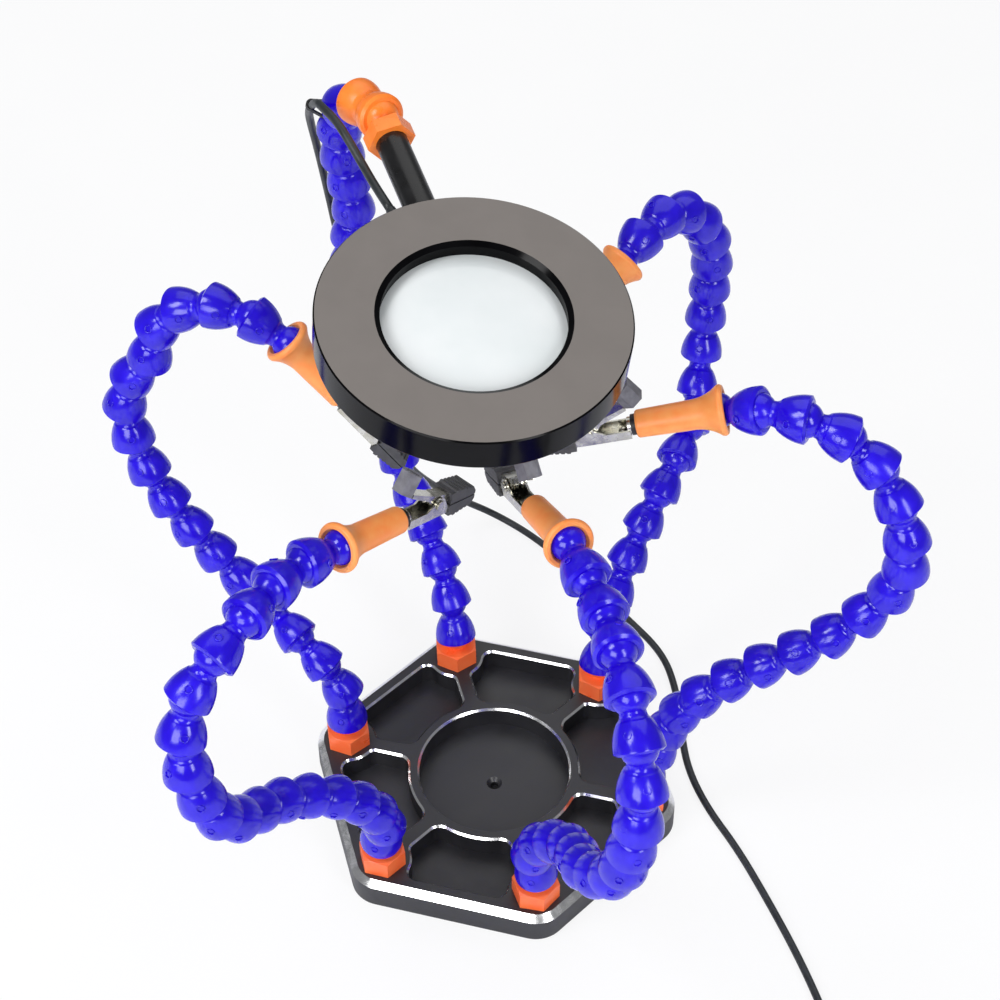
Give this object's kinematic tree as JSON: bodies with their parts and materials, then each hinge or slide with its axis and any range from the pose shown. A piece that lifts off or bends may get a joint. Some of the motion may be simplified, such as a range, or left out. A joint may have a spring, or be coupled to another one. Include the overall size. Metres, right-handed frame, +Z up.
{
  "type": "helping hands clamp",
  "caption": "Bench stand with jointed flexible arms that hold small work in crocodile clips under a ring lamp.",
  "frame": {"origin": "middle of the underside of the base pad, on the bench", "axes": "+Z up; +X through the corner of the right arm; +Y to the back"},
  "size_m": [0.3815, 0.3049, 0.3002],
  "materials": {
    "anodised_plate": "black anodised, bright turned bevels",
    "pad_rubber": "sheet rubber",
    "orange_plastic": "moulded",
    "blue_plastic": "moulded",
    "sleeve_rubber": "soft moulded",
    "jaw_rubber": "ribbed moulding",
    "clip_steel": "nickel plated",
    "lamp_orange_plastic": "moulded",
    "black_steel": "satin black",
    "black_plastic": "gloss moulded",
    "cover_metal": "satin grey",
    "lens_glass": "polished",
    "board_white": "white solder mask",
    "diffuser_plastic": "frosted",
    "lead_sheath": "extruded sheath",
    "plug_plastic": "moulded plug with a steel shell"
  },
  "bodies": {
    "root": {"base_plate": "anodised_plate", "base_pad": "pad_rubber", "base_fittings": "orange_plastic", "lead_fall": "lead_sheath", "lead_coil": "lead_sheath", "usb_plug": "plug_plastic"},
    "left_lower_arm": {"left_lower_links": "blue_plastic"},
    "left_upper_arm": {"left_upper_links": "blue_plastic"},
    "left_sleeve_body": {"left_sleeve": "sleeve_rubber"},
    "left_clip": {"left_clip_lower_jaw": "clip_steel", "left_lower_jaw_cover": "jaw_rubber", "left_clip_hardware": "clip_steel"},
    "left_jaw": {"left_clip_upper_jaw": "clip_steel", "left_upper_jaw_cover": "jaw_rubber"},
    "front_left_lower_arm": {"front_left_lower_links": "blue_plastic"},
    "front_left_upper_arm": {"front_left_upper_links": "blue_plastic"},
    "front_left_sleeve_body": {"front_left_sleeve": "sleeve_rubber"},
    "front_left_clip": {"front_left_clip_lower_jaw": "clip_steel", "front_left_lower_jaw_cover": "jaw_rubber", "front_left_clip_hardware": "clip_steel"},
    "front_left_jaw": {"front_left_clip_upper_jaw": "clip_steel", "front_left_upper_jaw_cover": "jaw_rubber"},
    "front_right_lower_arm": {"front_right_lower_links": "blue_plastic"},
    "front_right_upper_arm": {"front_right_upper_links": "blue_plastic"},
    "front_right_sleeve_body": {"front_right_sleeve": "sleeve_rubber"},
    "front_right_clip": {"front_right_clip_lower_jaw": "clip_steel", "front_right_lower_jaw_cover": "jaw_rubber", "front_right_clip_hardware": "clip_steel"},
    "front_right_jaw": {"front_right_clip_upper_jaw": "clip_steel", "front_right_upper_jaw_cover": "jaw_rubber"},
    "right_lower_arm": {"right_lower_links": "blue_plastic"},
    "right_upper_arm": {"right_upper_links": "blue_plastic"},
    "right_sleeve_body": {"right_sleeve": "sleeve_rubber"},
    "right_clip": {"right_clip_lower_jaw": "clip_steel", "right_lower_jaw_cover": "jaw_rubber", "right_clip_hardware": "clip_steel"},
    "right_jaw": {"right_clip_upper_jaw": "clip_steel", "right_upper_jaw_cover": "jaw_rubber"},
    "back_right_lower_arm": {"back_right_lower_links": "blue_plastic"},
    "back_right_upper_arm": {"back_right_upper_links": "blue_plastic"},
    "back_right_sleeve_body": {"back_right_sleeve": "sleeve_rubber"},
    "back_right_clip": {"back_right_clip_lower_jaw": "clip_steel", "back_right_lower_jaw_cover": "jaw_rubber", "back_right_clip_hardware": "clip_steel"},
    "back_right_jaw": {"back_right_clip_upper_jaw": "clip_steel", "back_right_upper_jaw_cover": "jaw_rubber"},
    "lamp_lower_arm": {"lamp_lower_links": "blue_plastic"},
    "lamp_upper_arm": {"lamp_upper_links": "blue_plastic", "lamp_double_socket": "lamp_orange_plastic", "lead_arm": "lead_sheath"},
    "lamp_head": {"lamp_hex_socket": "lamp_orange_plastic", "lamp_stem": "black_steel", "lamp_housing": "black_plastic", "lamp_top_cover": "cover_metal", "lamp_lens": "lens_glass", "lamp_lens_ring": "black_plastic", "lamp_led_board": "board_white", "lamp_diffuser": "diffuser_plastic", "lead_gland": "lead_sheath", "lead_top": "lead_sheath"}
  },
  "joints": [
    {"name": "left_base_ball", "type": "hinge", "parent": "root", "child": "left_lower_arm", "pos_m": [-0.063, 0, 0.029], "axis": [0, -1, 0], "range_deg": [-2, 12]},
    {"name": "left_arm_bend", "type": "hinge", "parent": "left_lower_arm", "child": "left_upper_arm", "pos_m": [-0.14091, 0.01319, 0.14097], "axis": [0, -1, 0], "range_deg": [-2, 14]},
    {"name": "left_wrist_ball", "type": "hinge", "parent": "left_upper_arm", "child": "left_sleeve_body", "pos_m": [-0.07499, 0.00696, 0.22771], "axis": [0, -1, 0], "range_deg": [-3, 10]},
    {"name": "left_clip_spin", "type": "hinge", "parent": "left_sleeve_body", "child": "left_clip", "pos_m": [-0.05718, 0.00741, 0.20611], "axis": [0.6361, 0.0161, -0.7714], "range_deg": [-30, 30]},
    {"name": "left_jaw_open", "type": "hinge", "parent": "left_clip", "child": "left_jaw", "pos_m": [-0.04528, 0.00771, 0.19388], "axis": [0.0254, -0.9997, 0], "range_deg": [0, 13], "stiffness_Nm_per_rad": 0.01, "springref_deg": -28.65},
    {"name": "front_left_base_ball", "type": "hinge", "parent": "root", "child": "front_left_lower_arm", "pos_m": [-0.0315, -0.05456, 0.029], "axis": [0.866, -0.5, 0], "range_deg": [-2, 12]},
    {"name": "front_left_arm_bend", "type": "hinge", "parent": "front_left_lower_arm", "child": "front_left_upper_arm", "pos_m": [-0.05982, -0.13382, 0.13983], "axis": [0.866, -0.5, 0], "range_deg": [-2, 14]},
    {"name": "front_left_wrist_ball", "type": "hinge", "parent": "front_left_upper_arm", "child": "front_left_sleeve_body", "pos_m": [-0.03333, -0.06701, 0.21186], "axis": [0.866, -0.5, 0], "range_deg": [-3, 10]},
    {"name": "front_left_clip_spin", "type": "hinge", "parent": "front_left_sleeve_body", "child": "front_left_clip", "pos_m": [-0.02094, -0.04326, 0.20368], "axis": [0.4423, 0.848, -0.2921], "range_deg": [-30, 30]},
    {"name": "front_left_jaw_open", "type": "hinge", "parent": "front_left_clip", "child": "front_left_jaw", "pos_m": [-0.01323, -0.02849, 0.20005], "axis": [0.8866, -0.4625, 0], "range_deg": [0, 13], "stiffness_Nm_per_rad": 0.01, "springref_deg": -28.65},
    {"name": "front_right_base_ball", "type": "hinge", "parent": "root", "child": "front_right_lower_arm", "pos_m": [0.0315, -0.05456, 0.029], "axis": [0.866, 0.5, 0], "range_deg": [-2, 12]},
    {"name": "front_right_arm_bend", "type": "hinge", "parent": "front_right_lower_arm", "child": "front_right_upper_arm", "pos_m": [0.07744, -0.12165, 0.14372], "axis": [0.866, 0.5, 0], "range_deg": [-2, 14]},
    {"name": "front_right_wrist_ball", "type": "hinge", "parent": "front_right_upper_arm", "child": "front_right_sleeve_body", "pos_m": [0.04043, -0.05454, 0.22109], "axis": [0.866, 0.5, 0], "range_deg": [-3, 10]},
    {"name": "front_right_clip_spin", "type": "hinge", "parent": "front_right_sleeve_body", "child": "front_right_clip", "pos_m": [0.02411, -0.03372, 0.21191], "axis": [-0.5829, 0.7434, -0.3279], "range_deg": [-30, 30]},
    {"name": "front_right_jaw_open", "type": "hinge", "parent": "front_right_clip", "child": "front_right_jaw", "pos_m": [0.01392, -0.02072, 0.20766], "axis": [0.787, 0.617, 0], "range_deg": [0, 13], "stiffness_Nm_per_rad": 0.01, "springref_deg": -28.65},
    {"name": "right_base_ball", "type": "hinge", "parent": "root", "child": "right_lower_arm", "pos_m": [0.063, 0, 0.029], "axis": [0, 1, 0], "range_deg": [-2, 12]},
    {"name": "right_arm_bend", "type": "hinge", "parent": "right_lower_arm", "child": "right_upper_arm", "pos_m": [0.13744, 0.00242, 0.14766], "axis": [0, 1, 0], "range_deg": [-2, 14]},
    {"name": "right_wrist_ball", "type": "hinge", "parent": "right_upper_arm", "child": "right_sleeve_body", "pos_m": [0.07759, 0.00928, 0.23001], "axis": [0, 1, 0], "range_deg": [-3, 10]},
    {"name": "right_clip_spin", "type": "hinge", "parent": "right_sleeve_body", "child": "right_clip", "pos_m": [0.05115, 0.00315, 0.22314], "axis": [-0.9444, -0.2189, -0.2455], "range_deg": [-30, 30]},
    {"name": "right_jaw_open", "type": "hinge", "parent": "right_clip", "child": "right_jaw", "pos_m": [0.03476, -0.00065, 0.22032], "axis": [-0.2258, 0.9742, 0], "range_deg": [0, 13], "stiffness_Nm_per_rad": 0.01, "springref_deg": -28.65},
    {"name": "back_right_base_ball", "type": "hinge", "parent": "root", "child": "back_right_lower_arm", "pos_m": [0.0315, 0.05456, 0.029], "axis": [-0.866, 0.5, 0], "range_deg": [-2, 12]},
    {"name": "back_right_arm_bend", "type": "hinge", "parent": "back_right_lower_arm", "child": "back_right_upper_arm", "pos_m": [0.05133, 0.14374, 0.1323], "axis": [-0.866, 0.5, 0], "range_deg": [-2, 14]},
    {"name": "back_right_wrist_ball", "type": "hinge", "parent": "back_right_upper_arm", "child": "back_right_sleeve_body", "pos_m": [0.02802, 0.07905, 0.22643], "axis": [-0.866, 0.5, 0], "range_deg": [-3, 10]},
    {"name": "back_right_clip_spin", "type": "hinge", "parent": "back_right_sleeve_body", "child": "back_right_clip", "pos_m": [0.01473, 0.05765, 0.21421], "axis": [-0.4745, -0.7645, -0.4364], "range_deg": [-30, 30]},
    {"name": "back_right_jaw_open", "type": "hinge", "parent": "back_right_clip", "child": "back_right_jaw", "pos_m": [0.00634, 0.04413, 0.20805], "axis": [-0.8497, 0.5273, 0], "range_deg": [0, 13], "stiffness_Nm_per_rad": 0.01, "springref_deg": -28.65},
    {"name": "lamp_base_ball", "type": "hinge", "parent": "root", "child": "lamp_lower_arm", "pos_m": [-0.0315, 0.05456, 0.029], "axis": [-0.866, -0.5, 0], "range_deg": [-4, 6], "deforming": ["lead_fall"]},
    {"name": "lamp_arm_bend", "type": "hinge", "parent": "lamp_lower_arm", "child": "lamp_upper_arm", "pos_m": [-0.07878, 0.09592, 0.15407], "axis": [-0.866, -0.5, 0], "range_deg": [-3, 8], "deforming": ["lead_arm"]},
    {"name": "lamp_tilt", "type": "hinge", "parent": "lamp_upper_arm", "child": "lamp_head", "pos_m": [-0.05529, 0.06066, 0.29171], "axis": [-0.866, -0.5, 0], "range_deg": [-3, 3], "deforming": ["lead_top"]}
  ]
}
